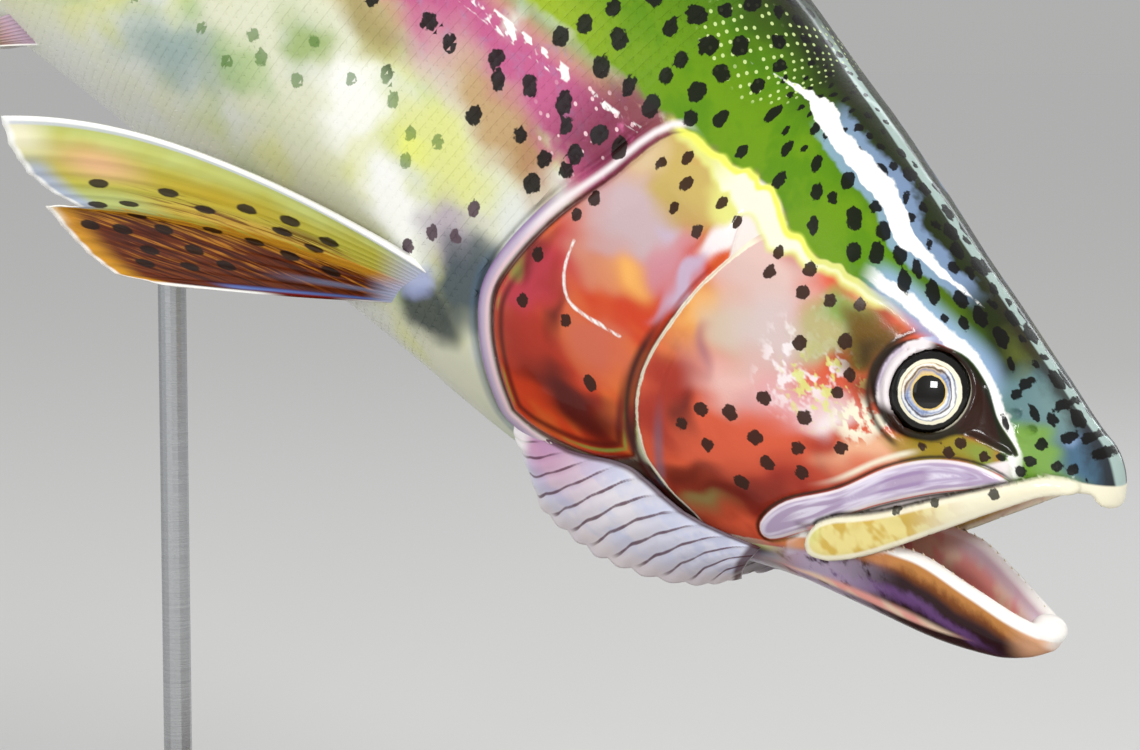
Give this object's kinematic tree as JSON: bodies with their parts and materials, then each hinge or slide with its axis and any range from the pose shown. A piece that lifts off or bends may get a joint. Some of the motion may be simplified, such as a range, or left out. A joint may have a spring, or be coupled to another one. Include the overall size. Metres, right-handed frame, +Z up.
{
  "type": "rainbow trout",
  "caption": "Still life-size rainbow trout diving head down with its mouth open, held over a plain wooden base by steel rods.",
  "frame": {"origin": "middle of the flat underside of the stand's base, on the floor", "axes": "+Z up; +X towards the head's end of the fish, tail towards -X; -Y is the side the trout's right flank and eye face"},
  "size_m": [0.5608, 0.22, 0.5211],
  "materials": {
    "skin": "wet, glossy fish skin with fine scales",
    "fin": "glossy ribbed fin skin",
    "tongue": "wet, smooth",
    "eye": "clear, polished",
    "stand_wood": "oiled dark wood",
    "stand_steel": "brushed"
  },
  "bodies": {
    "root": {"head": "skin", "jaw_lower": "skin", "tongue": "tongue", "maxilla_right": "skin", "maxilla_left": "skin", "gill_cover_right": "skin", "gill_cover_left": "skin", "gill_membrane_right": "fin", "gill_membrane_left": "fin", "eye_right": "eye", "eye_left": "eye", "trunk_front": "skin", "trunk_rear": "skin", "tail_stalk": "skin", "fin_dorsal": "fin", "fin_adipose": "fin", "fin_anal": "fin", "fin_caudal": "fin", "fin_pectoral_right": "fin", "fin_pectoral_left": "fin", "fin_pelvic_right": "fin", "fin_pelvic_left": "fin", "stand_base": "stand_wood", "stand_rod_front": "stand_steel", "stand_rod_rear": "stand_steel", "stand_collar_front": "stand_steel", "stand_collar_rear": "stand_steel"}
  },
  "joints": []
}
